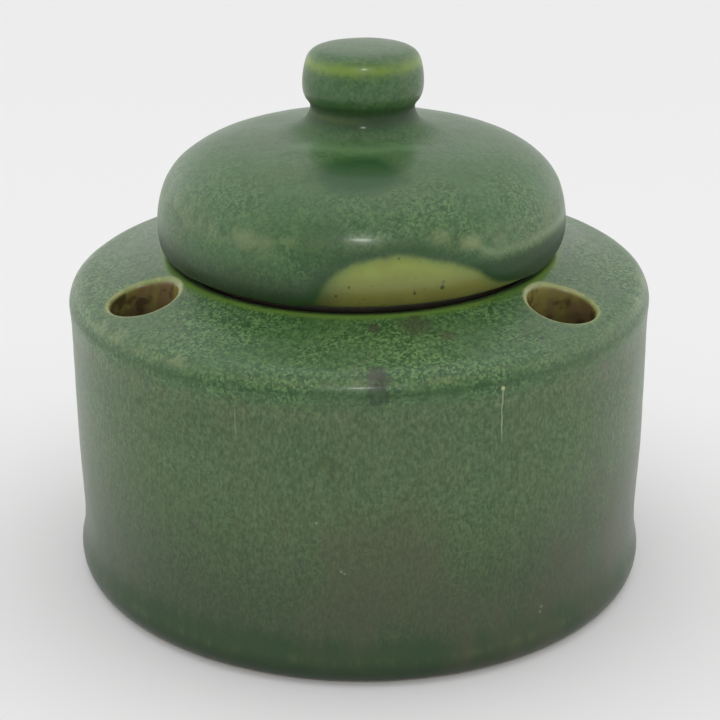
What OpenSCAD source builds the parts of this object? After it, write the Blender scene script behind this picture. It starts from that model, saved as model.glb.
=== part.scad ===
// Round pottery inkwell for a desk.
// Three fired-clay pieces: a hollow drum-shaped vessel with upright pen holes
// in its sloping shoulder, a loose tapered ink liner that hangs in the mouth,
// and a domed lid with a turned knob whose ring drops into the liner.
// Millimetres. +Z is up, the origin is the centre of the foot's resting plane.

/* [Vessel] */
// Outside diameter of the drum just under the shoulder edge
body_d = 100.6; // [100.2:0.2:110]
// Height of the widest point of the shoulder edge above the table
shoulder_z = 49.8; // [44:0.2:60]
// Rise of the shoulder from its rounded edge to the crest of the mouth rim
shoulder_rise = 3.5; // [2:0.1:6]
// Thickness of the clay in the side wall and the floor
wall = 4; // [3:0.1:4.2]
// Diameter of the mouth rim, measured on its crest
rim_d = 68; // [66:0.2:68.4]
// How far the waist above the foot is drawn in from the foot bead
waist_in = 0.95; // [0.4:0.05:1.6]
// Depth of the recess under the foot ring
foot_recess = 1.8; // [1:0.1:3]
// Width of the ring the vessel stands on
foot_ring_w = 4.6; // [3:0.2:8]

/* [Pen holes] */
// Diameter of each pen hole
pen_hole_d = 11; // [8:0.2:11.2]
// Diameter of the circle the hole centres stand on
pen_circle_d = 80.8; // [80.6:0.2:81]
// Angle between the two front pen holes; the third one is at the back
front_gap = 115; // [80:1:140]

/* [Liner] */
// Diameter of the liner's flange
flange_d = 61; // [60:0.2:61.6]
// Thickness of the liner's flange
flange_t = 3; // [2.4:0.1:3.6]
// Outside diameter of the ink cup just under the flange
cup_top_d = 53.6; // [48:0.2:54]
// Outside diameter of the ink cup at its base
cup_base_d = 43; // [36:0.5:47]
// Depth of the liner from flange top to its underside
cup_h = 37; // [26:0.5:42]
// Wall of the ink cup
cup_wall = 3; // [2.5:0.1:4]

/* [Lid] */
// Largest diameter of the lid
lid_d = 70.2; // [69:0.2:72]
// Height of the dome from the lid's flat underside to the foot of the knob
dome_h = 19.8; // [17:0.2:25]
// Height of the knob above the top of the dome
knob_h = 14.4; // [12:0.2:20]
// Diameter of the knob
knob_d = 20.6; // [17:0.2:24]
// Diameter of the knob's neck at its narrowest
neck_d = 17.7; // [13:0.1:18]
// Drop of the locating ring below the lid's underside
ring_drop = 4; // [2:0.5:6]

/* [Detail] */
// Points drawn between two neighbouring control points of a curve
steps = 3; // [2:1:4]

/* [Hidden] */
$fn = 120;

glaze = [0.30, 0.42, 0.27];
bisque = [0.80, 0.74, 0.60];

body_r = body_d / 2;
foot_r = body_r + 0.7;
rim_r = rim_d / 2;
edge_z = shoulder_z + 4;
rim_z = edge_z + shoulder_rise;
in_r = body_r - wall - 0.1;
floor_z = foot_recess + wall + 0.5;
under_z = edge_z - 4.4;

// step inside the mouth that the liner hangs in
seat_r = 31.1;
seat_z = rim_z - 1.95;
mouth_r = 27.6;
mouth_z = under_z;

flange_z = seat_z + flange_t;
lid_z = flange_z;
lid_r = lid_d / 2;
knob_r = knob_d / 2;
neck_r = neck_d / 2;
ring_r = cup_top_d / 2 - cup_wall - 0.6;
ring_in_r = ring_r - 3.6;

// Catmull-Rom curve through a list of points, ends kept
function cr(a, b, c, d, t) =
    0.5 * ((2 * b) + (c - a) * t + (2 * a - 5 * b + 4 * c - d) * t * t
    + (3 * b - a - 3 * c + d) * t * t * t);
function smooth(p, n = steps) = let(k = len(p)) [
    for (i = [0 : k - 2], j = [0 : n - 1])
        cr(p[max(i - 1, 0)], p[i], p[i + 1], p[min(i + 2, k - 1)], j / n),
    p[k - 1]
];

// outside of the vessel, from the resting ring up to the waist
foot_curve = smooth([
    [foot_r - 3.4, 0],
    [foot_r - 2.1, 0.2],
    [foot_r - 0.8, 0.9],
    [foot_r - 0.1, 2.1],
    [foot_r, 3.1],
    [foot_r - 0.15, 4.3],
    [foot_r - 0.55, 6],
    [foot_r - waist_in + 0.05, 9],
    [foot_r - waist_in, 12]
]);
wall_curve = smooth([
    [foot_r - waist_in, 12],
    [body_r - 0.05, shoulder_z * 0.4],
    [body_r + 0.08, shoulder_z * 0.56],
    [body_r, shoulder_z * 0.74],
    [body_r - 0.1, shoulder_z - 5],
    [body_r + 0.02, shoulder_z - 1.5],
    [body_r + 0.02, shoulder_z]
]);
// rounded edge, then the slightly hollow slope up to the mouth
edge_curve = smooth([
    [body_r + 0.02, shoulder_z],
    [body_r - 0.3, shoulder_z + 1.5],
    [body_r - 1.05, shoulder_z + 2.75],
    [body_r - 2.1, shoulder_z + 3.6],
    [body_r - 3.2, edge_z]
]);
shoulder_curve = smooth([
    [body_r - 3.2, edge_z],
    [rim_r + 6.4, edge_z + shoulder_rise * 0.46],
    [rim_r + 3.4, edge_z + shoulder_rise * 0.67],
    [rim_r + 1.0, edge_z + shoulder_rise * 0.91],
    [rim_r, rim_z],
    [rim_r - 0.9, rim_z - 0.05],
    [seat_r + 0.6, rim_z - 0.2],
    [seat_r, rim_z - 0.65]
]);
mouth_curve = [
    [seat_r, seat_z + 0.3],
    [seat_r - 0.3, seat_z],
    [mouth_r + 0.4, seat_z],
    [mouth_r, seat_z - 0.4],
    [mouth_r, mouth_z + 0.6],
    [mouth_r + 0.6, mouth_z]
];
cavity_curve = [
    [mouth_r + 4.4, mouth_z],
    [in_r - 1.8, under_z - 0.3],
    [in_r - 0.5, under_z - 0.9],
    [in_r, under_z - 2.3],
    [in_r, floor_z + 4],
    [in_r - 1.2, floor_z + 1.4],
    [in_r - 3.8, floor_z],
    [0, floor_z]
];
under_curve = [
    [0, foot_recess],
    [foot_r - 3.4 - foot_ring_w - 1.4, foot_recess],
    [foot_r - 3.4 - foot_ring_w - 0.5, foot_recess * 0.7],
    [foot_r - 3.4 - foot_ring_w, 0]
];

module pen_bore(a) {
    // upright, centred on the hole circle, through the shoulder only
    rotate([0, 0, a])
        translate([pen_circle_d / 2, 0, under_z - 3])
            cylinder(d = pen_hole_d, h = rim_z - under_z + 8);
}

module vessel() {
    color(glaze)
    difference() {
        rotate_extrude()
            polygon(concat(foot_curve, wall_curve, edge_curve, shoulder_curve,
                mouth_curve, cavity_curve, under_curve));
        for (a = [90, 270 - front_gap / 2, 270 + front_gap / 2])
            pen_bore(a);
    }
}

cup_r = cup_top_d / 2;
base_r = cup_base_d / 2;
cup_z = flange_z - cup_h;

module liner() {
    color(bisque)
    rotate_extrude()
        polygon([
            [0, cup_z + 0.6],
            [base_r - 4, cup_z + 0.6],
            [base_r - 4.4, cup_z],
            [base_r - 1.6, cup_z],
            [base_r - 0.5, cup_z + 0.5],
            [base_r, cup_z + 1.6],
            [cup_r - 0.5, seat_z - 1.2],
            [cup_r, seat_z],
            [flange_d / 2 - 0.5, seat_z],
            [flange_d / 2, seat_z + 0.5],
            [flange_d / 2, flange_z - 0.6],
            [flange_d / 2 - 0.6, flange_z],
            [cup_r - cup_wall + 0.7, flange_z],
            [cup_r - cup_wall + 0.2, flange_z - 0.2],
            [cup_r - cup_wall, flange_z - 0.8],
            [cup_r - cup_wall, flange_z - ring_drop - 0.6],
            [base_r - cup_wall + 0.9, cup_z + 6.2],
            [base_r - cup_wall - 0.6, cup_z + 4.4],
            [base_r - cup_wall - 3, cup_z + 3.4],
            [0, cup_z + 3.4]
        ]);
}

dome_z = lid_z + dome_h;
// outside of the lid, from its flat underside up over the dome to the neck
lid_curve = smooth([
    [lid_r - 1.9, lid_z],
    [lid_r - 0.9, lid_z + 0.5],
    [lid_r - 0.3, lid_z + 1.5],
    [lid_r, lid_z + 3.6],
    [lid_r - 0.1, lid_z + dome_h * 0.28],
    [lid_r - 0.6, lid_z + dome_h * 0.435],
    [lid_r - 1.25, lid_z + dome_h * 0.535],
    [lid_r - 2.5, lid_z + dome_h * 0.64],
    [lid_r - 4.6, lid_z + dome_h * 0.74],
    [lid_r - 8.1, lid_z + dome_h * 0.84],
    [lid_r - 12.6, lid_z + dome_h * 0.91],
    [neck_r + 8.5, lid_z + dome_h * 0.955],
    [neck_r + 4.6, lid_z + dome_h * 0.985],
    [neck_r + 2.2, dome_z + 0.45],
    [neck_r + 0.8, dome_z + knob_h * 0.13],
    [neck_r, dome_z + knob_h * 0.27]
]);
knob_curve = smooth([
    [neck_r, dome_z + knob_h * 0.27],
    [neck_r + 0.28, dome_z + knob_h * 0.34],
    [knob_r - 0.45, dome_z + knob_h * 0.41],
    [knob_r - 0.1, dome_z + knob_h * 0.48],
    [knob_r, dome_z + knob_h * 0.55],
    [knob_r - 0.2, dome_z + knob_h * 0.69],
    [knob_r - 0.7, dome_z + knob_h * 0.82],
    [knob_r - 1.3, dome_z + knob_h * 0.89],
    [knob_r - 2.4, dome_z + knob_h * 0.94],
    [knob_r * 0.42, dome_z + knob_h * 0.985],
    [0, dome_z + knob_h]
]);
hollow_r = lid_r - 5.4;
hollow_curve = [
    [0, dome_z - 5],
    [hollow_r * 0.4, dome_z - 5.8],
    [hollow_r * 0.66, dome_z - 7],
    [hollow_r * 0.82, dome_z - 8.2],
    [hollow_r * 0.95, dome_z - 10.4],
    [hollow_r, dome_z - 12.4],
    [hollow_r - 0.6, lid_z + 5.2],
    [hollow_r - 1.8, lid_z + 4.4],
    [ring_in_r + 1.2, lid_z + 4.4],
    [ring_in_r + 0.3, lid_z + 4.1],
    [ring_in_r, lid_z + 3.4],
    [ring_in_r, lid_z - ring_drop + 0.8],
    [ring_in_r + 0.8, lid_z - ring_drop],
    [ring_r - 1, lid_z - ring_drop],
    [ring_r - 0.2, lid_z - ring_drop + 0.9],
    [ring_r, lid_z - 0.4],
    [ring_r + 0.4, lid_z]
];

module lid() {
    color(glaze)
    translate([0, 0, 0.05])
        rotate_extrude()
            polygon(concat(lid_curve, knob_curve, hollow_curve));
}

vessel();
liner();
lid();
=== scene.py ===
import math

import bpy
import numpy as np
from mathutils import Matrix, Vector
from mathutils.geometry import delaunay_2d_cdt


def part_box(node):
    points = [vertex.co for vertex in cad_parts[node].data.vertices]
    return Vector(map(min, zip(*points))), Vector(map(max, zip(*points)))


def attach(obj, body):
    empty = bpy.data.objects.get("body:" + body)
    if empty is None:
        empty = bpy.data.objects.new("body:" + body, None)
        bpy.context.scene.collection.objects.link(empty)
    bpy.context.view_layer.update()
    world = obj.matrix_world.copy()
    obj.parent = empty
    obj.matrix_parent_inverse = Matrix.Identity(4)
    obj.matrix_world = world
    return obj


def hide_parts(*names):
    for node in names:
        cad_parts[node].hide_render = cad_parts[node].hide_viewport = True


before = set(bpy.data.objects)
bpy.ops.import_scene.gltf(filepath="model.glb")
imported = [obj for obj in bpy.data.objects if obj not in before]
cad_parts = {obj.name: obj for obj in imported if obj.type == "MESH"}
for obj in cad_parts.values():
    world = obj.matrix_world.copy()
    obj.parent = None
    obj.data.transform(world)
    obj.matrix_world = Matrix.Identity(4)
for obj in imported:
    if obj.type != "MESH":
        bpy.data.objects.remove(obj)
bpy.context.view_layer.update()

MM = 0.001
COLS = 448            # segments round the vessel and the lid
YAW = math.radians(3.3)   # the front of the object is turned this much from the camera

# ------------------------------------------------------------------ maths


def sstep(a, b, x):
    t = np.clip((np.asarray(x, float) - a) / (b - a), 0, 1)
    return t * t * (3 - 2 * t)


def spline(P, step):
    """Centripetal Catmull-Rom through control points, resampled every step mm."""
    P = np.array(P, float)
    n = len(P)
    Q = np.vstack([2 * P[0] - P[1], P, 2 * P[-1] - P[-2]])
    t = np.concatenate([[0], np.cumsum(np.hypot(*np.diff(Q, axis=0).T) ** 0.5)])
    out = []
    for i in range(1, n):
        p0, p1, p2, p3 = Q[i - 1:i + 3]
        t0, t1, t2, t3 = t[i - 1:i + 3]
        s = np.linspace(t1, t2, 24, endpoint=False)[:, None]
        a1 = (t1 - s) / (t1 - t0) * p0 + (s - t0) / (t1 - t0) * p1
        a2 = (t2 - s) / (t2 - t1) * p1 + (s - t1) / (t2 - t1) * p2
        a3 = (t3 - s) / (t3 - t2) * p2 + (s - t2) / (t3 - t2) * p3
        b1 = (t2 - s) / (t2 - t0) * a1 + (s - t0) / (t2 - t0) * a2
        b2 = (t3 - s) / (t3 - t1) * a2 + (s - t1) / (t3 - t1) * a3
        out.append((t2 - s) / (t2 - t1) * b1 + (s - t1) / (t2 - t1) * b2)
    out = np.vstack(out + [P[-1:]])
    L = np.concatenate([[0], np.cumsum(np.hypot(*np.diff(out, axis=0).T))])
    m = max(2, int(round(L[-1] / step)) + 1)
    u = np.linspace(0, L[-1], m)
    return np.stack([np.interp(u, L, out[:, 0]), np.interp(u, L, out[:, 1])], -1)


def warp(P):
    """The small lean of the hand-finished piece: the same for every piece, nothing at the table."""
    P = np.array(P, float)
    x, y, z = P[..., 0], P[..., 1], P[..., 2]
    c, s = math.cos(YAW), math.sin(YAW)
    xp, yp = x * c + y * s, -x * s + y * c
    g = np.clip(z, 0, 57.5) / 48 * (1 - 0.5 * sstep(57.5, 65, z))
    dz = g * (0.0136 * xp + 0.0069 * yp)
    dx = -0.00021 * np.clip(z, 0, 50) ** 2
    dx = dx + (-0.17 - dx) * sstep(52, 63, z) + 0.07 * sstep(78, 88, z)
    return np.stack([x + dx * c, y + dx * s, z + dz], -1)


def waves(P, seed, size, n=14):
    """Smooth unevenness, about -1 to 1, from a fixed set of waves of about that size in mm."""
    rng = np.random.RandomState(seed)
    v = np.zeros(len(P))
    for _ in range(n):
        k = rng.normal(size=3)
        k *= 2 * math.pi / (size * rng.uniform(0.7, 1.6)) / np.linalg.norm(k)
        v += np.sin(P @ k + rng.uniform(0, 6.28))
    return v / math.sqrt(n / 2) * 0.6


OUT, CLAY, IN, BORE = 0.0, 1.0, 2.0, 3.0    # glazed outside, bare foot, cavity, pen-hole wall

# ------------------------------------------------------------------ mesh


class Build:
    """Collects vertices (mm, undeformed), faces and one number per vertex that says which surface it is on."""

    def __init__(self):
        self.v, self.f, self.side, self.n = [], [], [], 0

    def add(self, pts, side):
        pts = np.asarray(pts, float).reshape(-1, 3)
        self.v.append(pts)
        self.side.append(np.full(len(pts), float(side)))
        self.n += len(pts)
        return np.arange(self.n - len(pts), self.n)

    def ring(self, r, z, cols, side):
        a = np.arange(cols) * 2 * math.pi / cols
        return self.add(np.stack([r * np.cos(a), r * np.sin(a), np.full(cols, z)], -1), side)

    def bridge(self, A, B, skip=None):
        """Faces between two closed rings; B may have half or twice as many points."""
        if len(A) == len(B):
            n = len(A)
            for i in range(n):
                if skip is None or not skip(i):
                    j = (i + 1) % n
                    self.f.append((A[i], A[j], B[j], B[i]))
        elif len(A) == 2 * len(B):
            n = len(B)
            for i in range(n):
                j = (i + 1) % n
                a0, a1, a2 = A[2 * i], A[2 * i + 1], A[(2 * i + 2) % len(A)]
                self.f += [(a0, a1, B[i]), (a1, B[j], B[i]), (a1, a2, B[j])]
        else:
            n = len(A)
            for i in range(n):
                j = (i + 1) % n
                b0, b1, b2 = B[2 * i], B[2 * i + 1], B[(2 * i + 2) % len(B)]
                self.f += [(A[i], b1, b0), (A[i], A[j], b1), (A[j], b2, b1)]

    def lathe(self, prof, cols, side, start=None):
        """Revolves a profile. Rings get fewer points near the axis. Returns first and last ring."""
        last, first = start, None
        for r, z in prof:
            if r < 1e-6:
                tip = self.add([[0, 0, z]], side)[0]
                for i in range(len(last)):
                    self.f.append((last[i], last[(i + 1) % len(last)], tip))
                return first, None
            c = cols
            while c > 14 and r < 0.11 * c and 2 * math.pi * r / c < 0.30:
                c //= 2
            if last is not None and c not in (len(last), len(last) // 2, len(last) * 2):
                c = len(last) // 2 if c < len(last) else len(last) * 2
            now = self.ring(r, z, c, side)
            if last is not None:
                self.bridge(last, now)
            if first is None:
                first = now
            last = now
        return first, last

    def make(self, name, shape=None, noise=None):
        """Builds the object: shape is not used; the undeformed points stay in the attribute 'rest'."""
        rest = np.vstack(self.v)
        side = np.concatenate(self.side)
        faces = [tuple(int(i) for i in f) for f in self.f]
        me = bpy.data.meshes.new(name)
        me.from_pydata(rest.tolist(), [], faces)
        me.update()
        import bmesh
        bm = bmesh.new()
        bm.from_mesh(me)
        bmesh.ops.recalc_face_normals(bm, faces=bm.faces)
        bm.to_mesh(me)
        bm.free()
        nor = np.zeros(len(rest) * 3, np.float32)
        me.vertices.foreach_get("normal", nor)
        nor = nor.reshape(-1, 3).astype(float)
        P = rest.copy()
        if noise is not None:
            P = P + nor * noise(rest, side)[:, None]
        P = warp(P) * MM
        me.vertices.foreach_set("co", P.astype(np.float32).ravel())
        me.update()
        a = me.attributes.new("rest", "FLOAT_VECTOR", "POINT")
        a.data.foreach_set("vector", rest.astype(np.float32).ravel())
        for key, kind in (("clay", CLAY), ("inside", IN), ("bore", BORE)):
            a = me.attributes.new(key, "FLOAT", "POINT")
            a.data.foreach_set("value", (side == kind).astype(np.float32))
        me.polygons.foreach_set("use_smooth", [True] * len(me.polygons))
        me.update()
        ob = bpy.data.objects.new(name, me)
        bpy.context.scene.collection.objects.link(ob)
        ob["tris"] = sum(len(f) - 2 for f in faces)
        return ob, rest, side

    def attribute(self, ob, name, values):
        a = ob.data.attributes.new(name, "FLOAT", "POINT")
        a.data.foreach_set("value", np.asarray(values, np.float32))



# ------------------------------------------------------------------ profiles, mm (radius, height)

foot_pts = [(42.7, 1.55), (42.85, 0.75), (43.25, 0.2), (43.9, 0.02), (45.3, 0.0), (46.8, 0.0), (47.6, 0.02)]
wall_pts = [(47.6, 0.02), (48.6, 0.12), (49.8, 0.62), (50.5, 1.35), (50.85, 2.3), (50.93, 3.2), (50.85, 4.2),
            (50.6, 5.3), (50.38, 6.4), (50.2, 7.8), (50.08, 9.8), (50.05, 12), (50.13, 15), (50.21, 18),
            (50.3, 21), (50.36, 25.5), (50.34, 30), (50.32, 34), (50.27, 39), (50.2, 44), (50.24, 47),
            (50.34, 49.2), (50.32, 50.3), (50.05, 51.35), (49.45, 52.4), (48.5, 53.2)]
top_pts = [(49.45, 52.4), (48.5, 53.2), (47.3, 53.72), (45.6, 54.12), (43, 54.72), (40.4, 55.4), (37.5, 56.15),
           (35.7, 56.75), (34.8, 57.1), (34.0, 57.3), (33.2, 57.3), (32.4, 57.18), (31.7, 56.95)]
mouth_pts = [(31.7, 56.95), (31.35, 56.6), (31.15, 56.1), (31.1, 55.75), (31.0, 55.5), (30.75, 55.36),
             (29.5, 55.34), (28.3, 55.34), (27.95, 55.25), (27.7, 54.95), (27.62, 54.4), (27.6, 52.0),
             (27.62, 50.2), (27.75, 49.7), (28.1, 49.42), (28.8, 49.38), (30.4, 49.4)]
under_pts = [(30.4, 49.4), (34, 49.36), (40, 49.2), (43.6, 49.08), (44.8, 48.75), (45.6, 48.0), (45.95, 47.2)]
cavity_pts = [(45.95, 47.2), (46.1, 46.0), (46.15, 40), (46.15, 20), (46.15, 11.5), (45.9, 9.6), (45.2, 8.0),
              (43.9, 6.9), (42.2, 6.4), (40, 6.32), (30, 6.3), (15, 6.35), (0.0, 6.4)]
recess_pts = [(42.7, 1.55), (42.2, 1.75), (41.2, 1.85), (38, 1.86), (25, 1.84), (12, 1.8), (0.0, 1.78)]
lid_pts = [(33.2, 58.42), (33.8, 58.5), (34.25, 58.85), (34.6, 59.5), (34.85, 60.4), (35.0, 61.5), (35.05, 62.8),
           (35.0, 64.0), (34.88, 65.1), (34.7, 66.1), (34.47, 67.1), (34.17, 68.1), (33.78, 69.1), (33.25, 70.1),
           (32.55, 71.1), (31.65, 72.1), (30.5, 73.1), (29.0, 74.1), (27.0, 75.12), (24, 76.15), (20, 77.05),
           (16, 77.65), (13.4, 78.0), (11.6, 78.5), (10.4, 79.2), (9.5, 80.3), (9.0, 81.4), (8.85, 82.1),
           (8.88, 82.5), (9.2, 83.1), (9.75, 83.8), (10.12, 84.8), (10.26, 86), (10.24, 87.1), (10.12, 88.2),
           (9.93, 89.2), (9.65, 90.2), (9.15, 91.1), (8.2, 91.8), (6.5, 92.2), (4, 92.42), (0.0, 92.52)]
hollow_pts = [(33.2, 58.42), (30.0, 58.41), (26.0, 58.41), (23.9, 58.42), (23.35, 58.3), (23.18, 57.8),
              (23.1, 56.6), (22.95, 55.4), (22.5, 54.6), (21.8, 54.4), (21.0, 54.4), (20.2, 54.65),
              (19.75, 55.3), (19.65, 56.4), (19.62, 59.0), (19.65, 61.6), (19.9, 62.3), (20.6, 62.75),
              (22.5, 62.85), (26.0, 62.95), (28.2, 63.2), (29.3, 64.1), (29.65, 65.7), (29.2, 67.8), (27.6, 69.6),
              (24.3, 71.0), (19.0, 72.3), (11, 73.0), (0.0, 73.2)]
liner_pts = [(0.0, 21.95), (10, 21.95), (16.6, 21.92), (17.2, 21.7), (17.5, 21.45), (18.2, 21.38), (19.6, 21.37),
             (20.6, 21.6), (21.2, 22.1), (21.5, 22.95), (23.0, 32.0), (25.0, 45.5), (26.1, 52.6), (26.35, 54.4),
             (26.6, 55.1), (27.1, 55.4), (28.2, 55.43), (29.6, 55.43), (30.15, 55.55), (30.4, 56.0), (30.42, 57.3),
             (30.3, 57.9), (29.8, 58.27), (29.0, 58.33), (26.5, 58.33), (24.8, 58.32), (24.25, 58.15),
             (23.95, 57.7), (23.85, 57.0), (23.8, 54.4), (23.4, 51.0), (21.4, 38.5), (19.55, 27.6), (18.9, 26.3),
             (17.6, 25.3), (15.6, 24.85), (12, 24.78), (0.0, 24.75)]

zs_curve = spline(top_pts, 0.1)[::-1]
zu_curve = spline(under_pts, 0.1)


def z_top(r):
    return np.interp(r, *zs_curve[np.argsort(zs_curve[:, 0])].T)


def z_under(r):
    return np.interp(r, zu_curve[:, 0], zu_curve[:, 1])


HOLES = [(40.4 * math.cos(math.radians(a)), 40.4 * math.sin(math.radians(a)), a) for a in (90.0, 212.5, 327.5)]
HOLE_R, LIP = 5.5, 0.95


def pierced(b, radii, cols, side, zf, rings, start, hole_n=112):
    """An annulus drawn from ring to ring, with the three pen holes let into it.
    Returns the last ring and the loop of vertices round each hole."""
    step = 360.0 / cols
    grid = [start] + [b.ring(r, float(zf(r)), cols, side) for r in radii[1:]]
    loops = []
    taken = set()
    for hx, hy, az in HOLES:
        half = int(math.ceil(12.6 / step))
        mid = int(round(az / step))
        colset = [(mid + k) % cols for k in range(-half, half + 1)]
        for k in range(-half, half):
            taken.add((mid + k) % cols)
        # grid points of the sector, in the sector's own frame
        ids, xy = [], []
        last = len(radii) - 1
        border = [(0, c) for c in range(len(colset))] + [(i, len(colset) - 1) for i in range(1, last)] \
            + [(last, c) for c in range(len(colset) - 1, -1, -1)] + [(i, 0) for i in range(last - 1, 0, -1)]

        def pos(i, c):
            a = math.radians(colset[c] * step)
            return radii[i] * math.cos(a), radii[i] * math.sin(a)
        for i, c in border:
            ids.append(int(grid[i][colset[c]]))
            xy.append(pos(i, c))
        nb = len(border)
        edges = [(k, (k + 1) % nb) for k in range(nb)]
        for i in range(1, last):
            for c in range(1, len(colset) - 1):
                p = pos(i, c)
                if math.hypot(p[0] - hx, p[1] - hy) > rings[0] + 0.42:
                    ids.append(int(grid[i][colset[c]]))
                    xy.append(p)
        loop = None
        ang = np.arange(hole_n) * 2 * math.pi / hole_n
        for d in rings:
            px, py = hx + d * np.cos(ang), hy + d * np.sin(ang)
            rr = np.hypot(px, py)
            drop = 0.0
            if d < HOLE_R + LIP:
                u = (HOLE_R + LIP - d) / LIP
                drop = LIP * (1 - math.sqrt(max(0.0, 1 - u * u)))
            sign = 1 if side == OUT else -0.35
            new = b.add(np.stack([px, py, zf(rr) - sign * drop], -1), side)
            base = len(ids)
            ids += [int(k) for k in new]
            xy += list(zip(px.tolist(), py.tolist()))
            loop = (base, new)
            inner = set(range(base, base + hole_n))
        edges += [(loop[0] + k, loop[0] + (k + 1) % hole_n) for k in range(hole_n)]
        vs, es, fs, ov, oe, of = delaunay_2d_cdt([Vector(p) for p in xy], edges, [], 0, 1e-7)
        back = [o[0] if o else -1 for o in ov]
        for f in fs:
            cx = sum(vs[k][0] for k in f) / len(f)
            cy = sum(vs[k][1] for k in f) / len(f)
            if all(back[k] in inner for k in f):
                continue
            # keep only what lies inside the sector
            a = math.degrees(math.atan2(cy, cx)) % 360
            da = (a - mid * step + 180) % 360 - 180
            if abs(da) > half * step or not min(radii) <= math.hypot(cx, cy) / math.cos(math.radians(step / 2)) or \
                    math.hypot(cx, cy) > max(radii):
                continue
            b.f.append(tuple(ids[back[k]] for k in f))
        loops.append(loop[1])
    for i in range(len(radii) - 1):
        b.bridge(grid[i], grid[i + 1], skip=lambda c: c in taken)
    # grid points that fell inside a hole are left loose and removed later
    return grid[-1], loops


# ------------------------------------------------------------------ vessel

b = Build()
recess = spline(recess_pts, 1.8)
first, _ = b.lathe(recess, COLS // 2, CLAY)
start = first
_, last = b.lathe(spline(foot_pts, 0.5)[1:], COLS // 2, CLAY, start=start)
outer = spline(wall_pts, 0.62)
keep = [0]
for i in range(1, len(outer)):
    z = outer[i][1]
    gap = 1.55 if 11 < z < 45 else 0.6
    if np.hypot(*(outer[i] - outer[keep[-1]])) >= gap * 0.98 or i == len(outer) - 1:
        keep.append(i)
_, last = b.lathe(outer[keep][1:], COLS, OUT, start=last)
radii = np.concatenate([[48.5], np.linspace(47.9, 33.6, 27), np.linspace(33.1, 31.7, 4)])
last, lips = pierced(b, list(radii), COLS, OUT, z_top, [7.0, 6.7, 6.45, 6.25, 6.02, 5.83, 5.68, 5.57, 5.515, 5.5], last)
_, last = b.lathe(spline(mouth_pts, 0.5)[1:], COLS, OUT, start=last)
ring30 = b.ring(30.9, 49.4, COLS // 2, IN)
b.bridge(last, ring30)
radii = list(np.linspace(30.9, 45.95, 17))
last, lows = pierced(b, radii, COLS // 2, IN, z_under, [6.4, 6.0, 5.7, 5.5], ring30)
_, _ = b.lathe(spline(cavity_pts, 1.9)[1:], COLS // 2, IN, start=last)
for up, lo in zip(lips, lows):
    pu, pl = [np.vstack(b.v)[np.array(k)] for k in (up, lo)]
    prev = up
    for t in np.linspace(0, 1, 12)[1:-1]:
        now = b.add(pu + (pl - pu) * t, BORE)
        b.bridge(prev, now)
        prev = now
    b.bridge(prev, lo)


def vessel_noise(P, side):
    r, z = np.hypot(P[:, 0], P[:, 1]), P[:, 2]
    free = np.where(side == OUT, 1.0, 0.3) * sstep(0.2, 4, z) * (1 - sstep(33.6, 33.0, r) * sstep(48, 52, z))
    v = 0.060 * waves(P, 3, 46) + 0.028 * waves(P, 4, 15) + 0.014 * waves(P, 5, 5.5, 24)
    # faint turning rings on the wall
    v += 0.022 * np.sin(z * 1.55 + 1.3 * np.sin(z * 0.31)) * sstep(8, 14, z) * (1 - sstep(44, 49, z)) * sstep(49, 50, r)
    v = np.minimum(v * free, 0.03)
    # glaze heaped in a soft roll where the wall starts
    return v + 0.05 * np.exp(-((z - 49.9) / 0.7) ** 2) * (r > 49) - 0.04


vessel, rest, side = b.make("inkwell_vessel", noise=vessel_noise)
import bmesh
bm = bmesh.new()
bm.from_mesh(vessel.data)
loose = [v for v in bm.verts if not v.link_faces]
bmesh.ops.delete(bm, geom=loose, context="VERTS")
bm.to_mesh(vessel.data)
bm.free()


def rest_of(ob):
    a = np.zeros(len(ob.data.vertices) * 3, np.float32)
    ob.data.attributes["rest"].data.foreach_get("vector", a)
    return a.reshape(-1, 3).astype(float)


P = rest_of(vessel)
hd = np.min([np.hypot(P[:, 0] - x, P[:, 1] - y) for x, y, _ in HOLES], axis=0)
b.attribute(vessel, "hole", np.minimum(hd, 30))
print("vessel tris", vessel["tris"])

# ------------------------------------------------------------------ lid

# the bare patch at the front: azimuth and height of the glaze's lower edge
EDGE = np.array([(257.5, 58.2), (259.0, 58.8), (260.7, 59.4), (262.5, 61.25), (264.0, 62.9), (266.2, 64.2),
                 (268.8, 65.4), (272.2, 66.25), (276.1, 66.8), (279.5, 67.05), (283.0, 67.25), (286.5, 67.05),
                 (290.0, 66.6), (293.4, 66.0), (297.3, 65.4), (300.1, 64.7), (302.7, 64.15), (304.6, 63.5),
                 (306.5, 62.8), (308.2, 61.9), (309.8, 61.2), (312.7, 60.45), (316.2, 59.85), (321.0, 59.3),
                 (324.6, 58.9), (327.0, 58.3)])
fine = spline(EDGE, 0.15)


def patch_distance(P):
    """Distance in mm to the glaze's lower edge on the lid's flank, positive on the bare side."""
    az = np.degrees(np.arctan2(P[:, 1], P[:, 0])) % 360
    z = P[:, 2]
    out = np.full(len(P), -20.0)
    near = np.where((az > 245) & (az < 342) & (z < 76) & (z > 58.0) & (np.hypot(P[:, 0], P[:, 1]) > 24))[0]
    k = math.radians(1) * 35.0
    ex, ez = fine[:, 0] * k, fine[:, 1]
    for s in range(0, len(near), 4000):
        q = near[s:s + 4000]
        d2 = (az[q][:, None] * k - ex) ** 2 + (z[q][:, None] - ez) ** 2
        d = np.sqrt(d2.min(1))
        top = np.interp(az[q], fine[:, 0], fine[:, 1], left=57.5, right=57.5)
        out[q] = np.where(z[q] < top, d, -d)
    return out


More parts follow.
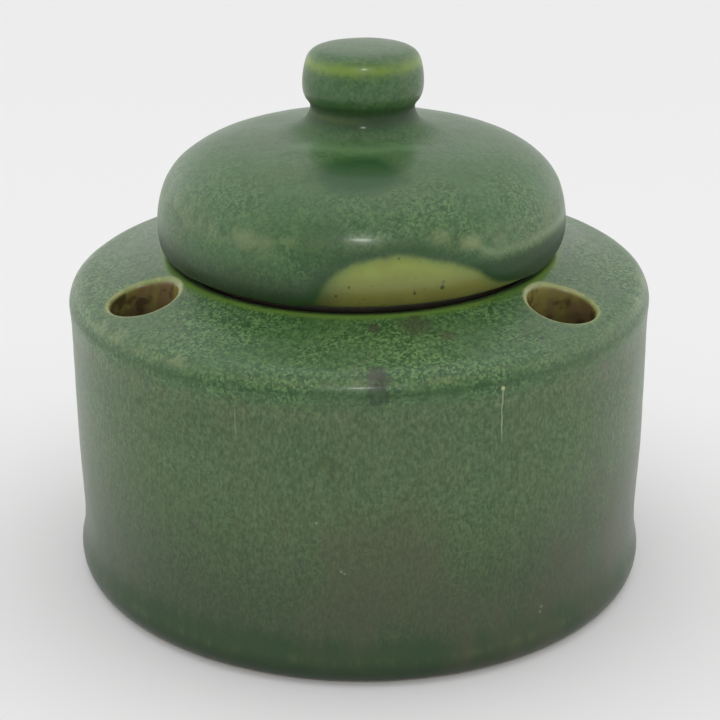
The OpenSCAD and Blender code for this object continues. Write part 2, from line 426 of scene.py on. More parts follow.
c = Build()
lid_curve = spline(lid_pts, 0.46)
keep = [0]
for i in range(1, len(lid_curve)):
    r, z = lid_curve[i]
    gap = 0.46 if z < 75.5 or z > 78.2 else 0.9
    if r < 7:
        gap = 0.9
    if np.hypot(*(lid_curve[i] - lid_curve[keep[-1]])) >= gap * 0.97 or i == len(lid_curve) - 1:
        keep.append(i)
first, _ = c.lathe(lid_curve[keep], COLS, OUT)
hollow = spline(hollow_pts, 0.75)[1:]
ring = c.ring(hollow[0][0], hollow[0][1], COLS // 2, IN)
c.bridge(first, ring)
c.lathe(hollow[1:], COLS // 2, IN, start=ring)


def lid_noise(P, side):
    r, z = np.hypot(P[:, 0], P[:, 1]), P[:, 2]
    free = np.where(side == OUT, 1.0, 0.25) * sstep(58.4, 59.5, z)
    v = 0.050 * waves(P, 13, 30) + 0.026 * waves(P, 14, 11) + 0.012 * waves(P, 15, 5, 24)
    v = v * free
    d = patch_distance(P)
    out = (side == OUT) & (z > 58.3)
    # the glaze is a thick skin here: it stops in a rounded roll above the bare clay
    skin = np.where(out, -0.20 * sstep(-0.9, 0.9, d) + 0.06 * np.exp(-((d + 1.5) / 1.1) ** 2)
                    + 0.09 * np.exp(-((d + 3.2) / 2.6) ** 2), 0.0)
    # a heavier drip hangs to the right of the patch
    az = np.degrees(np.arctan2(P[:, 1], P[:, 0])) % 360
    skin += np.where(out, 0.22 * np.exp(-((az - 317) / 6.5) ** 2 - ((z - 61.4) / 2.0) ** 2) * sstep(0.3, -0.6, d), 0)
    return v + skin - 0.02


lid, _, _ = c.make("inkwell_lid", noise=lid_noise)
P = rest_of(lid)
c.attribute(lid, "patch", patch_distance(P))
print("lid tris", lid["tris"])

# ------------------------------------------------------------------ liner

d = Build()
prof = spline(liner_pts, 0.75)
down = prof[: np.argmax(prof[:, 0] > 29.4)][::-1]
up = prof[np.argmax(prof[:, 0] > 29.4) - 1:]
ring = d.ring(up[0][0], up[0][1], 224, OUT)
d.lathe(down[1:], 224, OUT, start=ring)
bend = int(np.argmax((up[:, 1] > 58.0) & (up[:, 0] < 24.6)))
_, ring = d.lathe(up[1:bend], 224, OUT, start=ring)
d.lathe(up[bend:], 224, IN, start=ring)


def liner_noise(P, side):
    return 0.03 * waves(P, 23, 26) + 0.012 * waves(P, 24, 7) - 0.03


liner, _, _ = d.make("inkwell_liner", noise=liner_noise)
print("liner tris", liner["tris"])

# ------------------------------------------------------------------ materials


def lin(r, g, b_):
    """sRGB 0-255 to linear."""
    return tuple(((v / 255 + 0.055) / 1.055) ** 2.4 if v > 10 else v / 255 / 12.92 for v in (r, g, b_)) + (1.0,)


class Nodes:
    def __init__(self, name):
        self.mat = bpy.data.materials.new(name)
        self.mat.use_nodes = True
        self.nt = self.mat.node_tree
        self.nt.nodes.clear()

    def new(self, kind, **props):
        n = self.nt.nodes.new(kind)
        for k, v in props.items():
            setattr(n, k, v)
        return n

    def put(self, socket, value):
        if isinstance(value, bpy.types.NodeSocket):
            self.nt.links.new(value, socket)
        else:
            socket.default_value = value

    def attr(self, name, out="Fac"):
        return self.new("ShaderNodeAttribute", attribute_name=name).outputs[out]

    def math(self, op, a, b_=0.0, c_=0.0, clamp=False):
        n = self.new("ShaderNodeMath", operation=op, use_clamp=clamp)
        for i, v in enumerate((a, b_, c_)):
            self.put(n.inputs[i], v)
        return n.outputs[0]

    def add(self, a, b_):
        return self.math("ADD", a, b_)

    def mul(self, a, b_):
        return self.math("MULTIPLY", a, b_)

    def sub(self, a, b_):
        return self.math("SUBTRACT", a, b_)

    def smooth(self, v, lo, hi, a=0.0, z=1.0):
        n = self.new("ShaderNodeMapRange", interpolation_type="SMOOTHSTEP")
        self.put(n.inputs["Value"], v)
        flip = lo > hi
        n.inputs["From Min"].default_value, n.inputs["From Max"].default_value = (hi, lo) if flip else (lo, hi)
        n.inputs["To Min"].default_value, n.inputs["To Max"].default_value = (z, a) if flip else (a, z)
        return n.outputs["Result"]

    def bell(self, v, mid, width):
        """1 at mid, falling to 0 either side over about width."""
        t = self.math("DIVIDE", self.sub(v, mid), width)
        return self.math("POWER", 2.71828, self.mul(self.mul(t, t), -1.0))

    def vec(self, op, a, b_=(0, 0, 0)):
        n = self.new("ShaderNodeVectorMath", operation=op)
        self.put(n.inputs[0], a)
        self.put(n.inputs[1], b_)
        return n.outputs["Value"] if op in ("DISTANCE", "LENGTH", "DOT_PRODUCT") else n.outputs["Vector"]

    def noise(self, vec, scale, detail=2.0, rough=0.5, dist=0.0, kind="FBM"):
        n = self.new("ShaderNodeTexNoise", noise_dimensions="3D", noise_type=kind)
        self.put(n.inputs["Vector"], vec)
        n.inputs["Scale"].default_value = scale
        n.inputs["Detail"].default_value = detail
        n.inputs["Roughness"].default_value = rough
        n.inputs["Distortion"].default_value = dist
        return n.outputs["Fac"]

    def cells(self, vec, scale, out="Distance", rand=1.0, feature="F1"):
        n = self.new("ShaderNodeTexVoronoi", feature=feature)
        self.put(n.inputs["Vector"], vec)
        n.inputs["Scale"].default_value = scale
        n.inputs["Randomness"].default_value = rand
        return n.outputs[out]

    def mix(self, fac, a, b_, blend="MIX"):
        n = self.new("ShaderNodeMix", data_type="RGBA", blend_type=blend, clamp_factor=True)
        self.put(n.inputs[0], fac)
        self.put(n.inputs[6], a)
        self.put(n.inputs[7], b_)
        return n.outputs[2]

    def finish(self, **sockets):
        p = self.new("ShaderNodeBsdfPrincipled")
        for k, v in sockets.items():
            self.put(p.inputs[k.replace("_", " ")], v)
        o = self.new("ShaderNodeOutputMaterial")
        self.nt.links.new(p.outputs["BSDF"], o.inputs["Surface"])
        return self.mat


def polar(n):
    """rest position, its x, y and height, and the radius, in mm"""
    rest_ = n.attr("rest", "Vector")
    s = n.new("ShaderNodeSeparateXYZ")
    n.put(s.inputs[0], rest_)
    x, y, z = s.outputs
    r = n.math("SQRT", n.add(n.mul(x, x), n.mul(y, y)))
    return rest_, x, y, z, r


def at(az, r, z):
    a = math.radians(az)
    return (r * math.cos(a), r * math.sin(a), z)


def glaze(name, lid_side):
    n = Nodes(name)
    rest_, x, y, z, r = polar(n)

    # --- noises, all in mm
    fine_ = n.noise(rest_, 2.15, 2.0, 0.55)          # crystals, about 0.45 mm
    fine2 = n.noise(n.vec("ADD", rest_, (31.7, 12.3, 5.1)), 1.25, 2.0, 0.6)
    mott = n.noise(n.vec("ADD", rest_, (7.7, 3.1, 9.4)), 0.42, 3.0, 0.6, 0.3)
    cloud = n.noise(n.vec("ADD", rest_, (3.3, 17.9, 2.2)), 0.075, 3.0, 0.55, 0.4)
    cloud2 = n.noise(n.vec("ADD", rest_, (43.3, 7.9, 22.2)), 0.045, 2.0, 0.5, 0.2)
    stretch = n.vec("MULTIPLY", rest_, (1.0, 1.0, 0.10))
    streak = n.noise(stretch, 0.55, 3.0, 0.62)
    streak2 = n.noise(n.vec("ADD", stretch, (9.1, 4.4, 0.7)), 0.20, 2.0, 0.5)

    # --- how open the crystal pattern is: strong on level surfaces, weak down the wall
    if lid_side:
        wall = n.mul(n.smooth(r, 33.2, 34.6), n.smooth(z, 66, 60))
        level = n.sub(1.0, n.mul(wall, 0.45))
    else:
        wall = n.smooth(z, 50.6, 47.5)
        level = n.sub(1.0, n.mul(wall, 0.42))

    dark_g = lin(38, 76, 35)
    mid_g = lin(62, 98, 54) if lid_side else lin(62, 96, 52)
    light_g = lin(92, 128, 74)
    olive = lin(79, 86, 53)
    grey_g = lin(84, 98, 70)

    weave = n.noise(n.vec("MULTIPLY", rest_, (1, 1, 0.42)), 2.3, 1.5, 0.6)

    # body colour: green to olive in clouds
    warm = n.smooth(n.add(n.mul(cloud, 0.65), n.mul(streak2, 0.35)), 0.40, 0.66)
    if lid_side:
        warm = n.mul(warm, 0.30)
    else:
        warm = n.mul(warm, n.add(0.20, n.mul(wall, 0.42)))
        warm = n.math("MAXIMUM", warm, n.mul(wall, 0.42))
    base = n.mix(warm, mid_g, olive)
    base = n.mix(n.mul(n.smooth(cloud2, 0.42, 0.62), 0.30), base, grey_g)
    # streaks that ran down the wall
    base = n.mix(n.mul(n.smooth(streak, 0.45, 0.75), n.mul(wall, 0.30)), base, grey_g)
    base = n.mix(n.mul(n.smooth(streak, 0.52, 0.28), n.mul(wall, 0.34)), base, lin(48, 76, 42))
    # mottle and crystals
    grain = n.new("ShaderNodeSeparateColor")
    n.put(grain.inputs[0], n.cells(n.vec("ADD", rest_, n.vec("MULTIPLY", n.attr("rest", "Vector"), (0.3, 0.3, 0.3))),
                                   1.95, "Color"))
    ga, gb = grain.outputs[0], grain.outputs[1]
    # the grain comes and goes over the piece
    drifts = n.smooth(n.noise(n.vec("ADD", rest_, (61.3, 2.9, 8.2)), 0.09, 2.0, 0.5), 0.38, 0.62, 0.45, 1.0)
    grainy = n.mul(level, drifts)
    if lid_side:
        grainy = n.mul(grainy, n.smooth(z, 72.5, 76.5, 1.35, 0.62))
    else:
        grainy = n.mul(grainy, n.smooth(z, 46.0, 51.0, 1.10, 2.10))
    base = n.mix(n.mul(n.smooth(mott, 0.54, 0.34), n.mul(level, 0.50)), base, dark_g)
    blot = n.noise(n.vec("ADD", rest_, (11.7, 23.1, 4.4)), 1.10, 2.5, 0.6)
    base = n.mix(n.mul(n.smooth(blot, 0.53, 0.36), n.mul(grainy, 0.50)), base, lin(34, 74, 32))
    base = n.mix(n.mul(n.smooth(weave, 0.52, 0.36), n.mul(wall, 0.56)), base, lin(40, 66, 30))
    base = n.mix(n.mul(n.smooth(weave, 0.50, 0.66), n.mul(wall, 0.46)), base, lin(94, 114, 78))
    base = n.mix(n.mul(n.smooth(blot, 0.52, 0.68), n.mul(grainy, 0.20)), base, lin(92, 122, 68))
    base = n.mix(n.mul(n.smooth(ga, 0.56, 0.16), n.mul(grainy, 0.62)), base, lin(28, 72, 28))
    base = n.mix(n.mul(n.smooth(gb, 0.44, 0.90), n.mul(grainy, 0.48)), base, light_g)
    base = n.mix(n.mul(n.smooth(fine_, 0.48, 0.80), n.mul(grainy, 0.30)), base, lin(96, 124, 72))
    base = n.mix(n.mul(n.smooth(fine2, 0.52, 0.28), n.mul(grainy, 0.34)), base, lin(40, 66, 30))
    rough = n.add(0.37, n.mul(n.sub(fine_, 0.5), 0.16))
    rough = n.add(rough, n.mul(n.sub(cloud, 0.5), 0.14))

    edge_n = n.mul(n.sub(n.noise(rest_, 0.9, 2.0, 0.5), 0.5), 1.0)
    yellow = lin(134, 148, 78)

    if lid_side:
        # --- glaze thins on the knob's rim; painted shade under the knob
        rim = n.mul(n.bell(n.add(z, n.mul(edge_n, 0.9)), 90.1, 0.95), n.smooth(r, 7.6, 9.0))
        rim = n.mul(rim, n.smooth(n.noise(rest_, 0.20, 2.0, 0.5), 0.30, 0.60, 0.45, 0.85))
        base = n.mix(rim, base, lin(112, 138, 50))
        skirt = n.mul(n.bell(z, 84.6, 1.1), n.smooth(mott, 0.45, 0.62))
        base = n.mix(n.mul(skirt, 0.40), base, lin(96, 96, 66))
        # painted shade: the neck under the knob is darkened
        under = n.mul(n.bell(z, 81.8, 1.9), n.smooth(r, 13.2, 10.6))
        base = n.mix(n.mul(under, 0.88), base, lin(28, 54, 20))
        rough = n.add(rough, n.mul(n.mul(n.smooth(z, 77.6, 79.0), n.smooth(z, 84.0, 82.5)), 0.30))
        neck = n.mul(n.bell(n.add(z, n.mul(edge_n, 1.2)), 81.6, 0.5), n.smooth(x, 3.0, -3.5))
        base = n.mix(n.mul(neck, 0.30), base, lin(92, 112, 40))
        # painted reflection: a deeper green patch on the slope in front of the knob, where the dome reflects the knob
        dd = n.vec("DISTANCE", n.vec("MULTIPLY", rest_, (0.9, 1.25, 1)), (0.9 * 0.8, -1.25 * 21.8, 76.2))
        dd = n.add(dd, n.mul(n.sub(cloud, 0.5), 5.0))
        base = n.mix(n.mul(n.smooth(dd, 9.0, 4.5), 0.86), base, lin(24, 68, 24))
        # painted highlight: the foot of the neck's fillet is painted lighter in front, where the front softbox reflects
        fillet_highlight = n.mul(n.bell(r, 13.4, 1.7), n.mul(n.smooth(y, -8.0, -11.0), n.smooth(z, 76.5, 77.0)))
        base = n.mix(n.mul(fillet_highlight, 0.42), base, lin(104, 140, 94))
        # light, finely grained band low on the dome
        band = n.mul(n.bell(n.add(z, n.mul(n.sub(cloud, 0.5), 5.0)), 68.3, 1.5), n.smooth(mott, 0.36, 0.66))
        base = n.mix(n.mul(band, 0.30), base, lin(120, 132, 88))
        # darker cloud beside the bare patch
        dd = n.vec("DISTANCE", rest_, at(265.0, 34.4, 67.6))
        dd = n.add(dd, n.mul(n.sub(cloud, 0.5), 4.0))
        base = n.mix(n.mul(n.smooth(dd, 7.0, 2.5), 0.42), base, lin(34, 66, 28))
        # thicker, darker glaze on the lower rim, darkened further with painted shade where the flank faces the shoulder
        low = n.mul(n.smooth(z, 66.0, 58.8), n.smooth(r, 30.0, 33.0))
        base = n.mix(n.mul(low, 0.88), base, lin(22, 42, 14))
        right = n.mul(n.smooth(x, 14.0, 19.0), n.smooth(y, -10.0, -16.0))
        line = n.mul(n.bell(n.add(z, n.mul(edge_n, 0.4)), 58.9, 0.35), right)
        base = n.mix(n.mul(line, 0.7), base, lin(118, 124, 58))
        # the right flank below about z 65 is darker: partly the heavier drip's thick glaze, partly painted shade where
        # it reflects the shoulder
        flank = n.mul(n.smooth(x, 16.5, 21.0), n.smooth(y, 4.0, -4.0))
        base = n.mix(n.mul(n.mul(n.smooth(z, 65.2, 63.4), flank), 0.80), base, lin(28, 56, 20))
        # painted highlight: a pale streak along the top of the darker right flank
        highlight_streak_z = n.add(z, n.add(n.mul(edge_n, 0.5), n.mul(n.smooth(x, 23.0, 18.5), -2.2)))
        line = n.mul(n.bell(highlight_streak_z, 65.5, 0.75), flank)
        base = n.mix(n.mul(line, 0.50), base, lin(118, 134, 92))
        for az, rr, zz, rad, k in ((241.2, 34.2, 68.0, 2.6, 0.30), (247.4, 34.2, 68.1, 1.8, 0.22),
                                   (294.5, 33.7, 69.3, 2.4, 0.26), (303.0, 34.3, 67.8, 2.2, 0.42),
                                   (312.8, 34.5, 67.2, 1.8, 0.24)):
            dd = n.vec("DISTANCE", n.vec("MULTIPLY", rest_, (1, 1, 1.5)), at(az, rr, zz * 1.5))
            dd = n.add(dd, n.mul(n.sub(mott, 0.5), rad * 1.4))
            base = n.mix(n.mul(n.smooth(dd, rad * 1.2, rad * 0.3), k), base, lin(134, 144, 100))
        # --- bare patch
        pd = n.add(n.attr("patch"), n.add(n.mul(edge_n, 0.3), n.mul(n.sub(mott, 0.5), 0.5)))
        # soft on the left, where the colour fades into the glaze
        left = n.smooth(x, 2.5, -9.0)
        # a darker band along the glaze's edge above the patch: partly the thicker glaze of the roll, partly painted
        # shade where it reflects the shoulder
        glaze_lip_shade = n.mul(n.smooth(pd, -3.4, -0.6), n.smooth(pd, 0.7, 0.0))
        base = n.mix(n.mul(glaze_lip_shade, 0.74), base, lin(30, 66, 26))
        bare = n.mul(n.smooth(pd, -0.45, 0.85), n.sub(1.0, n.mul(left, n.smooth(pd, 10.0, 0.5))))
        grade = n.smooth(n.add(z, n.mul(n.sub(mott, 0.5), 1.2)), 65.5, 59.2)
        clay_ = n.mix(grade, lin(131, 146, 66), lin(106, 104, 48))
        clay_ = n.mix(n.mul(n.smooth(n.noise(rest_, 0.20, 3.0, 0.6), 0.42, 0.7), 0.45), clay_, lin(120, 117, 56))
        clay_ = n.mix(n.mul(n.smooth(n.cells(rest_, 0.55), 0.16, 0.06), 0.55), clay_, lin(70, 84, 40))
        thin = n.mul(n.smooth(pd, 1.9, 0.2), 0.55)
        clay_ = n.mix(thin, clay_, lin(98, 122, 56))
        for az, zz, rad, k in ((294.75, 61.4, 0.36, 0.95), (287.3, 60.9, 0.26, 0.9), (267.0, 60.8, 0.24, 0.9),
                               (270.3, 62.3, 0.22, 0.7), (283.1, 66.7, 0.2, 0.7)):
            dd = n.vec("DISTANCE", rest_, at(az, 35.0 if zz < 64 else 34.6, zz))
            clay_ = n.mix(n.mul(n.smooth(dd, rad * 1.5, rad * 0.5), k), clay_, lin(48, 52, 26))
        base = n.mix(bare, base, clay_)
        rough = n.add(rough, n.mul(n.smooth(z, 66.0, 62.0), 0.16))
        rough = n.add(rough, n.mul(n.mul(n.smooth(z, 66.0, 63.5), flank), 0.22))
        rough = n.add(n.mul(rough, n.sub(1.0, bare)), n.mul(bare, 0.30))
        pits = bare
    else:
        # --- rim of the mouth, shoulder edge
        crest = n.mul(n.bell(n.add(r, n.mul(edge_n, 0.4)), 33.85, 0.85), n.smooth(z, 55.5, 56.6))
        crest = n.mul(crest, n.smooth(n.noise(rest_, 0.07, 2.0, 0.5), 0.35, 0.60, 0.60, 0.95))
        base = n.mix(crest, base, lin(112, 148, 64))
        # painted shade: the rim's inner slope and the seat under the lid's edge are darkened
        crevice_shade = n.mul(n.smooth(r, 32.6, 31.5), n.smooth(z, 50, 54))
        base = n.mix(n.mul(crevice_shade, 0.75), base, lin(34, 44, 22))
        gaps = n.smooth(n.noise(rest_, 0.11, 2.0, 0.5), 0.44, 0.62)
        edge = n.mul(n.bell(n.add(z, n.mul(edge_n, 0.7)), 52.35, 0.42), n.smooth(r, 44, 47.5))
        base = n.mix(n.mul(edge, n.add(0.12, n.mul(gaps, 0.40))), base, lin(118, 128, 84))
        blots = n.mul(n.bell(n.add(z, n.mul(edge_n, 1.0)), 52.9, 0.75), n.smooth(n.noise(rest_, 0.24, 2.0, 0.5), 0.55, 0.68))
        base = n.mix(n.mul(n.mul(blots, gaps), 0.38), base, lin(132, 140, 102))
        roll = n.mul(n.bell(n.add(z, n.mul(edge_n, 0.6)), 50.75, 0.62), n.smooth(r, 48, 49.6))
        base = n.mix(n.mul(roll, n.smooth(n.noise(rest_, 0.05, 2.0, 0.5), 0.35, 0.65, 0.30, 0.66)), base, lin(40, 70, 28))
        # a dotted pale line a little below it
        dots = n.mul(n.bell(n.add(z, n.mul(edge_n, 1.3)), 47.3, 0.9), n.smooth(fine2, 0.50, 0.66))
        base = n.mix(n.mul(dots, 0.42), base, lin(116, 126, 84))
        # painted shade: the shoulder just under the mouth is darkened where the lid shades it. Lower down the wall
        # grows darker towards the bottom, and the green is richer in the waist over the foot
        lid_shade = n.mul(n.smooth(r, 39.5, 35.5), n.smooth(z, 54, 56))
        base = n.mix(n.mul(lid_shade, 0.05), base, lin(46, 78, 38))
        waist = n.smooth(n.add(z, n.add(n.mul(n.sub(streak, 0.5), 6.0), n.mul(n.sub(blot, 0.5), 3.0))), 10.2, 6.0)
        base = n.mix(n.mul(n.smooth(z, 36, 8), 0.62), base, lin(38, 52, 28))
        base = n.mix(n.mul(waist, n.smooth(cloud2, 0.38, 0.62, 0.74, 0.95)), base, lin(24, 58, 14))
        foot = n.mul(n.smooth(z, 5.6, 1.2), 0.84)
        base = n.mix(foot, base, lin(20, 42, 14))
        bead = n.mul(n.bell(n.add(z, n.mul(edge_n, 0.8)), 4.6, 0.8), n.smooth(streak, 0.45, 0.66))
        base = n.mix(n.mul(bead, 0.22), base, lin(92, 104, 62))
        # warm brown drift on the lower front
        drift = n.mul(n.smooth(n.noise(n.vec("MULTIPLY", rest_, (1, 1, 0.5)), 0.062, 3.0, 0.55), 0.50, 0.64),
                      n.smooth(z, 40, 22))
        base = n.mix(n.mul(drift, 0.42), base, lin(72, 68, 48))

        # --- pen holes
        hole = n.attr("hole")
        top_only = n.smooth(z, 52.6, 53.4)
        ringm = n.mul(n.smooth(n.add(hole, n.mul(edge_n, 0.45)), 6.65, 5.95), top_only)
        ringc = n.mix(n.smooth(mott, 0.4, 0.65), lin(148, 152, 96), lin(124, 140, 78))
        base = n.mix(n.mul(n.smooth(hole, 7.6, 6.4), n.mul(top_only, 0.22)), base, lin(104, 124, 66))
        base = n.mix(ringm, base, ringc)
        wallm = n.smooth(hole, 5.70, 5.52)
        shaft = n.mix(n.smooth(n.noise(n.vec("MULTIPLY", rest_, (1, 1, 0.45)), 0.24, 3.0, 0.6, 0.6), 0.42, 0.62),
                      lin(128, 122, 62), lin(116, 98, 66))
        shaft = n.mix(n.mul(n.smooth(n.noise(n.vec("ADD", rest_, (5, 5, 5)), 0.34, 2.0, 0.5), 0.52, 0.66), 0.72), shaft,
                      lin(58, 46, 30))
        shaft = n.mix(n.mul(n.smooth(n.noise(n.vec("ADD", rest_, (15, 5, 5)), 0.26, 2.0, 0.5), 0.56, 0.70), 0.5), shaft,
                      lin(146, 144, 76))
        shaft = n.mix(n.mul(n.smooth(z, 53.0, 50.0), 0.45), shaft, lin(58, 48, 32))
        base = n.mix(wallm, base, shaft)
        # --- unglazed clay: foot ring and underside
        clayf = n.noise(rest_, 1.1, 3.0, 0.6)
        clay_ = n.mix(clayf, lin(176, 160, 128), lin(150, 130, 98))
        clay_ = n.mix(n.smooth(n.noise(rest_, 0.12, 2.0, 0.5), 0.45, 0.7), clay_, lin(126, 112, 82))
        bare = n.mul(n.smooth(n.add(z, n.mul(edge_n, 0.5)), 0.62, 0.22), n.smooth(r, 42.0, 42.8))
        under = n.mul(n.smooth(z, 2.4, 2.0), n.smooth(r, 42.6, 42.2))
        # the recess was wiped: thin olive skin over clay
        skin = n.mix(n.smooth(n.noise(rest_, 0.09, 3.0, 0.6), 0.34, 0.72, 0.0, 0.7), lin(104, 104, 62), lin(140, 126, 92))
        base = n.mix(under, base, n.mix(n.mul(clayf, 0.6), skin, lin(84, 92, 56)))
        base = n.mix(bare, base, clay_)
        # --- cavity: thin brownish glaze
        inside = n.smooth(n.attr("inside"), 0.3, 0.9)
        inc = n.mix(n.smooth(n.noise(rest_, 0.10, 3.0, 0.6), 0.42, 0.62), lin(106, 98, 58), lin(122, 106, 78))
        inc = n.mix(n.mul(n.smooth(mott, 0.5, 0.7), 0.5), inc, lin(78, 66, 42))
        base = n.mix(inside, base, inc)
        # --- stains and marks
        for az, rr, zz, rad, col, k in (
                (277.2, 36.75, 56.4, 1.15, lin(50, 54, 38), 0.75), (287.1, 36.9, 56.35, 2.8, lin(60, 66, 44), 0.62),
                (293.2, 40.0, 55.5, 1.4, lin(60, 62, 44), 0.52), (312.1, 45.6, 54.1, 0.45, lin(34, 52, 38), 0.85),
                (276.6, 47.7, 53.5, 1.7, lin(58, 62, 48), 0.72), (275.8, 48.9, 52.8, 1.1, lin(72, 72, 62), 0.6),
                (278.0, 48.6, 52.9, 1.2, lin(48, 54, 40), 0.6), (277.2, 49.6, 51.9, 1.0, lin(44, 54, 38), 0.6),
                (276.8, 50.1, 50.9, 1.5, lin(40, 62, 34), 0.5), (324.6, 50.2, 47.6, 1.0, lin(96, 78, 80), 0.42),
                (324.3, 50.2, 46.0, 0.9, lin(96, 78, 80), 0.38), (241.8, 50.36, 25.0, 0.7, lin(52, 56, 44), 0.42),
                (242.6, 50.36, 24.2, 0.5, lin(52, 56, 44), 0.36), (262.8, 50.3, 21.5, 1.7, lin(58, 66, 52), 0.30),
                (309.4, 50.1, 8.2, 0.32, lin(136, 140, 118), 0.42), (309.7, 50.1, 9.0, 0.30, lin(136, 140, 118), 0.42),
                (270.2, 50.3, 20.9, 0.24, lin(128, 134, 116), 0.5), (270.8, 50.3, 20.5, 0.22, lin(128, 134, 116), 0.45),
                (265.9, 50.3, 29.3, 0.26, lin(140, 146, 130), 0.55)):
            dd = n.vec("DISTANCE", rest_, at(az, rr, zz))
            dd = n.add(dd, n.mul(n.sub(fine2, 0.5), rad * 1.1))
            base = n.mix(n.mul(n.smooth(dd, rad * 1.15, rad * 0.62), k), base, col)
        # dark ring of the drip mark on the edge
        dd = n.vec("DISTANCE", rest_, at(276.8, 50.05, 50.9))
        base = n.mix(n.mul(n.bell(n.add(dd, n.mul(n.sub(fine2, 0.5), 1.6)), 1.35, 0.42), 0.62), base, lin(24, 40, 20))
        # scratch with a nick at its head, and a fainter one
        for az, z0, z1, w, k in ((299.35, 41.0, 49.6, 0.085, 0.50), (251.3, 42.4, 48.0, 0.08, 0.22)):
            a = math.radians(az)
            across = n.math("ABSOLUTE", n.add(n.vec("DOT_PRODUCT", rest_, (-math.sin(a), math.cos(a), 0)),
                                              n.mul(n.sub(n.noise(rest_, 0.30, 2.0, 0.5), 0.5), 1.0)))
            front = n.smooth(n.vec("DOT_PRODUCT", rest_, (math.cos(a), math.sin(a), 0)), 30, 40)
            span = n.mul(n.smooth(z, z0 - 0.8, z0 + 1.5), n.smooth(z, z1 + 0.3, z1 - 0.2))
            line = n.mul(n.mul(n.smooth(across, w * 1.9, w * 0.5), span), front)
            base = n.mix(n.mul(line, k), base, lin(170, 178, 150))
        dd = n.vec("DISTANCE", rest_, at(299.3, 50.35, 49.9))
        base = n.mix(n.mul(n.smooth(dd, 0.42, 0.2), 0.8), base, lin(186, 184, 140))
        rough = n.add(rough, n.mul(n.math("MAXIMUM", bare, under), 0.35))
        rough = n.add(rough, n.mul(n.mul(wallm, n.smooth(z, 50, 52)), -0.05))
        pits = inside

    # --- surface: orange peel, crystals standing up, pin holes
    peel = n.noise(rest_, 0.95, 2.0, 0.5)
    bumpv = n.add(n.mul(peel, 0.55), n.mul(fine_, 0.30))
    pin = n.smooth(n.cells(n.vec("ADD", rest_, (2, 3, 4)), 0.23), 0.10, 0.03)
    bumpv = n.sub(bumpv, n.mul(pin, 0.5))
    base = n.mix(n.mul(pin, 0.35), base, lin(48, 58, 34))
    bump = n.new("ShaderNodeBump")
    bump.inputs["Strength"].default_value = 0.30
    bump.inputs["Distance"].default_value = 0.00006
    n.put(bump.inputs["Height"], bumpv)
    rough = n.math("MINIMUM", n.math("MAXIMUM", rough, 0.2), 0.85)
    return n.finish(Base_Color=base, Roughness=rough, Normal=bump.outputs["Normal"], Specular_IOR_Level=0.45,
                    IOR=1.5, Coat_Weight=0.16, Coat_Roughness=0.12, Coat_IOR=1.45)


def clay():
    n = Nodes("liner_clay")
    rest_, x, y, z, r = polar(n)
    a = n.noise(rest_, 0.9, 4.0, 0.6)
    b_ = n.noise(rest_, 0.10, 3.0, 0.55)
    base = n.mix(n.smooth(a, 0.35, 0.7), lin(206, 192, 160), lin(184, 166, 130))
    base = n.mix(n.mul(n.smooth(b_, 0.45, 0.65), 0.5), base, lin(170, 152, 116))
    specks = n.smooth(n.cells(rest_, 0.7), 0.13, 0.05)
    base = n.mix(n.mul(specks, 0.6), base, lin(92, 70, 46))
    # dried ink: tide marks inside the cup, a dark floor, and a smear over the rim
    inner = n.smooth(n.attr("inside"), 0.3, 0.9)
    tide = n.add(z, n.mul(n.sub(n.noise(rest_, 0.14, 3.0, 0.6), 0.5), 7.0))
    ink = n.mul(n.smooth(tide, 37.0, 35.6), inner)
    base = n.mix(n.mul(ink, 0.90), base, lin(28, 30, 44))
    ring_ = n.mul(n.mul(n.bell(tide, 41.5, 0.55), inner), 0.5)
    base = n.mix(ring_, base, lin(52, 50, 66))
    smear = n.smooth(n.vec("DISTANCE", n.vec("MULTIPLY", rest_, (1, 1, 0.35)), (21.5, -12.5, 19.5)), 6.2, 3.0)
    smear = n.mul(smear, n.smooth(n.noise(n.vec("MULTIPLY", rest_, (1, 1, 0.4)), 0.5, 3.0, 0.6), 0.40, 0.60))
    base = n.mix(n.mul(smear, 0.7), base, lin(40, 42, 60))
    # painted shade: the flange's outer side and top edge, which show in the gap under the lid, are painted dark
    # olive-brown
    flange_shade = n.mul(n.smooth(n.add(r, n.mul(n.sub(n.noise(rest_, 0.35, 3.0, 0.6), 0.5), 2.4)), 28.6, 29.9),
                  n.smooth(z, 55.0, 55.6))
    base = n.mix(n.mul(flange_shade, 0.92), base, lin(38, 34, 26))
    rough = n.add(0.34, n.mul(a, 0.25))
    bump = n.new("ShaderNodeBump")
    bump.inputs["Strength"].default_value = 0.35
    bump.inputs["Distance"].default_value = 0.00008
    n.put(bump.inputs["Height"], n.add(n.mul(a, 0.6), n.mul(n.noise(rest_, 2.2, 2.0, 0.5), 0.4)))
    return n.finish(Base_Color=base, Roughness=rough, Normal=bump.outputs["Normal"], Specular_IOR_Level=0.5,
                    IOR=1.5, Coat_Weight=0.15, Coat_Roughness=0.2)


vessel.data.materials.append(glaze("glaze_vessel", False))
lid.data.materials.append(glaze("glaze_lid", True))
liner.data.materials.append(clay())

# height of the middle of each node's box that the outlines above were drawn to, mm
DRAWN_MID = {"vessel": 28.657, "liner": 39.85, "lid": 73.50}

for ob, body, node, slot in ((vessel, "vessel", "vessel", "glaze_vessel"), (liner, "liner", "liner", "liner_clay"),
                             (lid, "lid", "lid", "glaze_lid")):
    # each piece stands where its CAD node stands
    lo_, hi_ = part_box(node)
    ob.location = (lo_ + hi_) / 2 - Vector((0, 0, DRAWN_MID[node] * MM))
    print("placed", node, [round(c_ * 1000, 4) for c_ in ob.location])
    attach(ob, body)
    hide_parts(node)

# ------------------------------------------------------------------ stage, light, camera

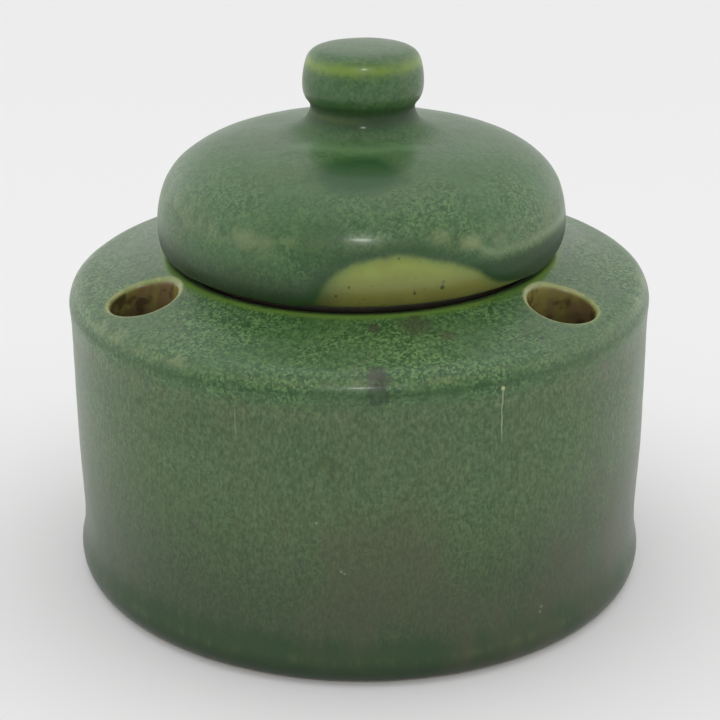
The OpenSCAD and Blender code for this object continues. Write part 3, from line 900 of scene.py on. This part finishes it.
me = bpy.data.meshes.new("floor")
me.from_pydata([(-4, -4, 0), (4, -4, 0), (4, 4, 0), (-4, 4, 0)], [], [(0, 1, 2, 3)])
floor = bpy.data.objects.new("floor", me)
bpy.context.scene.collection.objects.link(floor)
fl = Nodes("floor_pale")
floor.data.materials.append(fl.finish(Base_Color=(0.82, 0.82, 0.82, 1), Roughness=0.9, Specular_IOR_Level=0.1))

scene = bpy.context.scene
world = bpy.data.worlds.new("studio")
scene.world = world
world.use_nodes = True
wn = world.node_tree
wn.nodes.clear()
tc = wn.nodes.new("ShaderNodeTexCoord")
dot = wn.nodes.new("ShaderNodeVectorMath")
dot.operation = "DOT_PRODUCT"
wn.links.new(tc.outputs["Generated"], dot.inputs[0])
dot.inputs[1].default_value = (0.055, -0.95, 0.30)
ramp = wn.nodes.new("ShaderNodeValToRGB")
wn.links.new(dot.outputs["Value"], ramp.inputs[0])
ramp.color_ramp.interpolation = "EASE"
ramp.color_ramp.elements[0].position = 0.15
ramp.color_ramp.elements[0].color = (1, 1, 1, 1)
ramp.color_ramp.elements[1].position = 0.85
ramp.color_ramp.elements[1].color = (0.48, 0.48, 0.48, 1)
low = wn.nodes.new("ShaderNodeVectorMath")
low.operation = "DOT_PRODUCT"
wn.links.new(tc.outputs["Generated"], low.inputs[0])
low.inputs[1].default_value = (0.0, 0.93, 0.37)
dim = wn.nodes.new("ShaderNodeMapRange")
dim.interpolation_type = "SMOOTHSTEP"
wn.links.new(low.outputs["Value"], dim.inputs["Value"])
dim.inputs["From Min"].default_value = 0.70
dim.inputs["From Max"].default_value = 0.97
dim.inputs["To Min"].default_value = 1.0
dim.inputs["To Max"].default_value = 0.66
toned = wn.nodes.new("ShaderNodeVectorMath")
toned.operation = "SCALE"
wn.links.new(ramp.outputs["Color"], toned.inputs[0])
wn.links.new(dim.outputs["Result"], toned.inputs["Scale"])
bg = wn.nodes.new("ShaderNodeBackground")
wn.links.new(toned.outputs["Vector"], bg.inputs["Color"])
bg.inputs["Strength"].default_value = 1.25
wo = wn.nodes.new("ShaderNodeOutputWorld")
wn.links.new(bg.outputs[0], wo.inputs["Surface"])


def area(name, where, target, size, power, size_y=None):
    d_ = bpy.data.lights.new(name, "AREA")
    d_.energy = power
    d_.size = size
    if size_y:
        d_.shape = "RECTANGLE"
        d_.size_y = size_y
    o = bpy.data.objects.new(name, d_)
    o.location = where
    o.rotation_euler = (Vector(target) - Vector(where)).to_track_quat("-Z", "Y").to_euler()
    scene.collection.objects.link(o)
    return o


area("softbox_front", (0.034, -0.76, 0.66), (0, 0, 0.05), 0.13, 1.5, 0.07)

cam = bpy.data.cameras.new("camera")
cam.sensor_width = 36
cam.lens = 36 * 1737.3 / 720
cam.shift_x = -0.00176
cam.clip_start = 0.01
cam.dof.use_dof = False
co = bpy.data.objects.new("camera", cam)
scene.collection.objects.link(co)
co.location = (0.2871 * math.sin(YAW), -0.2871 * math.cos(YAW), 0.1541)
co.rotation_mode = "QUATERNION"
co.rotation_quaternion = (Matrix.Rotation(YAW, 3, "Z") @ Matrix.Rotation(math.radians(90 - 22.42), 3, "X")
                          @ Matrix.Rotation(0.0084, 3, "Z")).to_quaternion()
scene.camera = co
scene.view_settings.view_transform = "Standard"
scene.view_settings.look = "None"
